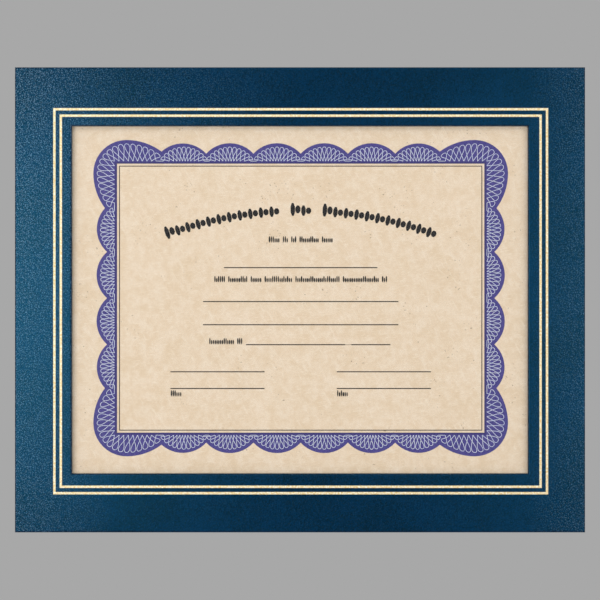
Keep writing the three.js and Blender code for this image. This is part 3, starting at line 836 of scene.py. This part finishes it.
# %% [markdown]
# ## The heading
# A heading is larger and bolder, and stands on an arc. Here it is a band of bars with an oval stud
# between each two, in three groups. It is laid out in cells along the arc, and a bar and a stud
# fill one cell.

# %% The heading
HEADING_RADIUS = 227.0
HEADING_BASE = 48.3  # the foot of the arc's middle, above the middle of the print
HEADING_CELL = 6.27
HEADING_GROUPS = (11, 2, 11)
HEADING_HEIGHT = 6.1
HEADING_FIRST = 7.6  # the first pair of each group stands taller
BAR = (-1.5, 2.55, 1.0)  # its place across the cell, its width, and its share of the height
STUD = (1.5, 3.0, 0.6)


def heading_strokes():
    """A bar and a stud in every cell along the arc, each leaning with it."""
    cells = sum(HEADING_GROUPS) + len(HEADING_GROUPS) - 1
    centre = Vector((0, HEADING_BASE - HEADING_RADIUS))
    along = -cells * HEADING_CELL / 2
    strokes = []
    for group in HEADING_GROUPS:
        for cell in range(group):
            height = HEADING_HEIGHT if cell else HEADING_FIRST
            reach = HEADING_RADIUS + height / 2
            for across, width, share in (BAR, STUD):
                angle = (along + HEADING_CELL / 2 + across) / (HEADING_RADIUS + HEADING_FIRST / 2)
                middle = centre + Vector((math.sin(angle), math.cos(angle))) * reach
                place = middle * MM + Vector((print_centre.x, print_centre.z))
                strokes.append((place.x, place.y, width * MM, height * share * MM, -angle))
            along += HEADING_CELL
        along += HEADING_CELL
    return marks("heading_strokes", strokes)


heading = printed("heading_strokes", heading_strokes(), pen_press, black_ink, "heading_print")
print("faces in the heading:", len(heading.data.polygons))

# %% [markdown]
# ## Camera
# The photograph looks straight at the frame from about a metre. The lens is worked out from the
# width that the picture shows, so that the frame fills the same part of it. The view transform is
# Standard, because the colours above were read off a screen.

# %% Camera
CAMERA_DISTANCE = 0.95
SENSOR = 36.0
VIEW_WIDTH = 0.3505  # what the picture's width shows, at the frame's face
VIEW_DROP = -0.09 * MM

camera_data = bpy.data.cameras.new("camera")
camera_data.sensor_width = SENSOR
camera_data.lens = SENSOR * CAMERA_DISTANCE / VIEW_WIDTH
camera = bpy.data.objects.new("camera", camera_data)
camera.location = (0, cad_box[0].y - CAMERA_DISTANCE, VIEW_DROP)
camera.rotation_euler = (math.pi / 2, 0, 0)
scene.collection.objects.link(camera)
scene.camera = camera
scene.view_settings.view_transform = "Standard"
print("lens in mm:", round(camera_data.lens, 1))

# %% [markdown]
# ## Soft boxes
# Two soft boxes stand left and right of the camera, the left one stronger. They light the paper
# evenly, and the leatherette takes their sheen on the upright sides of the frame but not in the
# middle of the top and bottom. A weaker one hangs high in front, and two stand behind the frame for
# views of its back. Each is named by its place and size in metres, and its strength is the
# brightness of its cloth, so that two can be compared without their areas. None of them shows in
# the picture itself.

# %% Soft boxes
SOFT_BOXES = {
    "left_box": ((-0.62, -1.1, 0.0), (0.86, 0.5), 4.2),
    "right_box": ((0.7, -1.07, 0.0), (0.95, 0.6), 1.9),
    "high_box": ((0.0, -1.0, 0.74), (1.2, 0.45), 1.5),
    "back_left_box": ((-1.2, 1.4, 1.1), (1.0, 0.8), 2.0),
    "back_right_box": ((1.3, 1.5, 1.0), (1.0, 0.8), 1.4),
}


def soft_box(name, place, size, brightness):
    """A soft box at that place, aimed at the frame."""
    data = bpy.data.lights.new(name, "AREA")
    data.shape = "RECTANGLE"
    data.size, data.size_y = size
    data.energy = brightness * size[0] * size[1] * math.pi  # an even cloth gives pi times its area
    box = bpy.data.objects.new(name, data)
    box.location = place
    box.rotation_euler = (-Vector(place)).to_track_quat("-Z", "Y").to_euler()
    box.visible_camera = False
    scene.collection.objects.link(box)


for name, (place, size, brightness) in SOFT_BOXES.items():
    soft_box(name, place, size, brightness)
print("soft boxes:", len(SOFT_BOXES))

# %% [markdown]
# ## The room
# The world is dim grey light all round. What the camera sees of it, straight or in a shine or
# through the film, is the photograph's backdrop instead. The kind of ray chooses between the two.

# %% The room
BACKDROP = colour("#a8a8a8")
ROOM_LIGHT = 0.48


def studio_world():
    """Dim light all round, and the backdrop's grey for what the camera sees."""
    world = bpy.data.worlds.new("studio")
    world.use_nodes = True
    tree = world.node_tree
    rays = tree.nodes.new("ShaderNodeLightPath").outputs
    kinds = ("Camera", "Glossy", "Transmission")
    straight, shine, through = (Reading(rays[f"Is {kind} Ray"]) for kind in kinds)
    seen = straight.larger(shine).larger(through)
    white = {"Color": (1, 1, 1, 1), "Strength": ROOM_LIGHT}
    dim = seen.node("ShaderNodeBackground", white)
    backdrop = seen.node("ShaderNodeBackground", {"Color": BACKDROP, "Strength": 1.0})
    both = seen.node("ShaderNodeMixShader", {0: seen, 1: dim, 2: backdrop})
    both.feed(tree.nodes["World Output"].inputs["Surface"], both)
    return world


scene.world = studio_world()
print("backdrop in linear light:", round(BACKDROP[0], 3))

# %% [markdown]
# ## The floor
# A pale floor lies under the frame, below the picture's lower edge, and catches its shadow in views
# from the side. It is part of the stage and not of the frame.

# %% The floor
FLOOR_DROP = 0.32
FLOOR_NEAR, FLOOR_FAR = -3.0, 0.55
FLOOR_SIDE = 2.5


def floor_paper(place):
    base = place.noise(60.0, 3.0).blend(colour("#b4b4b4"), colour("#bcbcbc"))
    return {"Base Color": base, "Roughness": 0.9}


def floor():
    """A pale floor that stops short of the picture's lower edge."""
    left_near, left_far = (-FLOOR_SIDE, FLOOR_NEAR), (-FLOOR_SIDE, FLOOR_FAR)
    right_near, right_far = (FLOOR_SIDE, FLOOR_NEAR), (FLOOR_SIDE, FLOOR_FAR)
    outline = (left_near, right_near, right_far, left_far)
    data = bpy.data.meshes.new("floor")
    data.from_pydata([(x, y, -FLOOR_DROP) for x, y in outline], [], [(0, 1, 2, 3)])
    data.materials.append(finish("floor", floor_paper))
    ground = bpy.data.objects.new("floor", data)
    scene.collection.objects.link(ground)


floor()
print("floor", FLOOR_DROP, "m below the frame's middle")

# %% [markdown]
